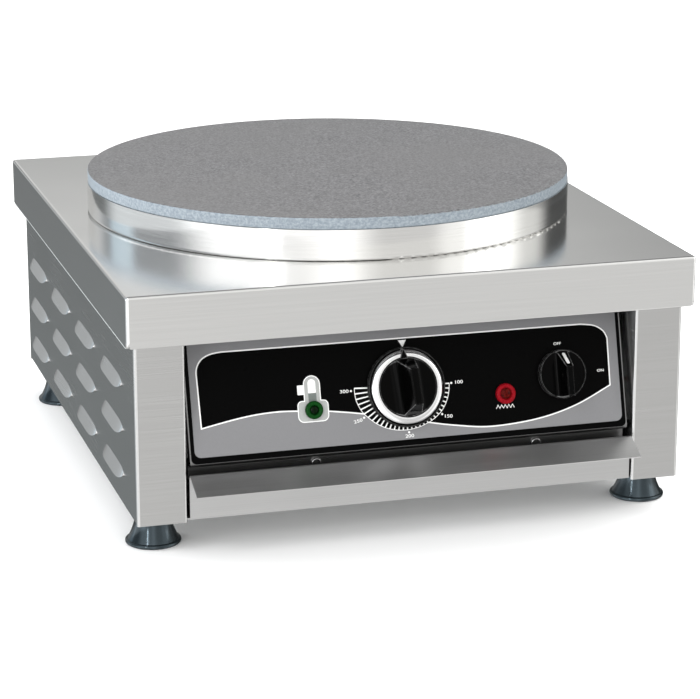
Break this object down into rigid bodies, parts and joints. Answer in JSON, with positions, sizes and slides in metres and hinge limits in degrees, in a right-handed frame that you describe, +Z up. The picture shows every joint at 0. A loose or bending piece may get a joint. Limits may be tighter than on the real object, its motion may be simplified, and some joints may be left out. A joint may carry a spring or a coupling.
{
  "type": "crepe maker",
  "caption": "Countertop electric crepe maker: round cast plate in a bright collar on a folded steel housing, inclined control panel with knobs and lamps, louvred sides, pull-out drip tray.",
  "frame": {"origin": "centre of the footprint of the whole appliance, tray lip included, on the worktop", "axes": "+X to the right of the user who faces the control panel, +Y to the back, +Z up"},
  "size_m": [0.45, 0.5254, 0.2407],
  "materials": {
    "cover_steel": "satin stainless steel",
    "collar_steel": "bright satin stainless steel",
    "plate_iron": "seasoned cast iron, turned flat",
    "housing_steel": "satin stainless steel",
    "tray_steel": "satin stainless steel",
    "overlay_print": "printed film, black and grey",
    "knob_black": "glossy black moulded plastic",
    "trim_bright": "bright metallised ring",
    "rail_black": "black painted steel",
    "marker_white": "white insert",
    "lens_red": "transparent red lens",
    "lens_green": "transparent green lens",
    "lamp_black": "black moulded plastic",
    "control_plastic": "dark phenolic moulding",
    "foot_rubber": "black rubber",
    "zinc_steel": "zinc-plated steel",
    "element_sheath": "annealed element sheath",
    "mineral_fibre": "mineral fibre felt",
    "bulb_copper": "copper capillary",
    "gland_plastic": "black polyamide",
    "terminal_plastic": "cream moulded plastic",
    "brass_screw": "brass",
    "wire_insulation": "silicone insulation"
  },
  "bodies": {
    "housing": {"top_cover": "cover_steel", "collar_ring": "collar_steel", "weld_studs": "zinc_steel", "weld_stud_nuts": "zinc_steel", "cooking_plate": "plate_iron", "outer_heating_element": "element_sheath", "inner_heating_element": "element_sheath", "element_links": "brass_screw", "element_clamp_plate": "zinc_steel", "insulation_pad": "mineral_fibre", "heat_shield": "zinc_steel", "front_bridge_bar": "zinc_steel", "rear_bridge_bar": "zinc_steel", "plate_studs": "zinc_steel", "plate_nuts": "zinc_steel", "left_side_panel": "housing_steel", "right_side_panel": "housing_steel", "back_panel": "housing_steel", "base_panel": "housing_steel", "control_fascia": "housing_steel", "fascia_overlay": "overlay_print", "cross_rail": "rail_black", "rail_screws": "zinc_steel", "thermostat_body": "control_plastic", "thermostat_nut": "zinc_steel", "thermostat_bulb": "bulb_copper", "bulb_clips": "zinc_steel", "power_switch_body": "control_plastic", "power_switch_nut": "zinc_steel", "red_lamp_lens": "lens_red", "red_lamp_body": "lamp_black", "green_lamp_lens": "lens_green", "green_lamp_body": "lamp_black", "left_tray_runner": "tray_steel", "right_tray_runner": "tray_steel", "runner_screws": "zinc_steel", "foot_bolts": "zinc_steel", "foot_nuts": "zinc_steel", "back_panel_screws": "zinc_steel", "cable_gland": "gland_plastic", "gland_locknut": "gland_plastic", "bonding_stud": "zinc_steel", "bonding_nuts": "zinc_steel", "terminal_block": "terminal_plastic", "terminal_screws": "brass_screw", "internal_wires": "wire_insulation", "front_left_foot": "foot_rubber", "front_right_foot": "foot_rubber", "rear_left_foot": "foot_rubber", "rear_right_foot": "foot_rubber"},
    "thermostat_dial": {"thermostat_knob": "knob_black", "thermostat_trim_ring": "trim_bright", "thermostat_shaft": "zinc_steel"},
    "power_dial": {"power_knob": "knob_black", "power_knob_marker": "marker_white", "power_shaft": "zinc_steel"},
    "tray": {"drip_tray": "tray_steel"}
  },
  "joints": [
    {"name": "thermostat_turn", "type": "hinge", "parent": "housing", "child": "thermostat_dial", "pos_m": [-0.0033, -0.22323, 0.11285], "axis": [0, 0.9627, -0.2706], "range_deg": [0, 270]},
    {"name": "power_turn", "type": "hinge", "parent": "housing", "child": "power_dial", "pos_m": [0.124, -0.22323, 0.11285], "axis": [0, 0.9627, -0.2706], "range_deg": [0, 90]},
    {"name": "tray_slide", "type": "slide", "parent": "housing", "child": "tray", "axis": [0, -1, 0], "range_m": [0, 0.36]}
  ]
}
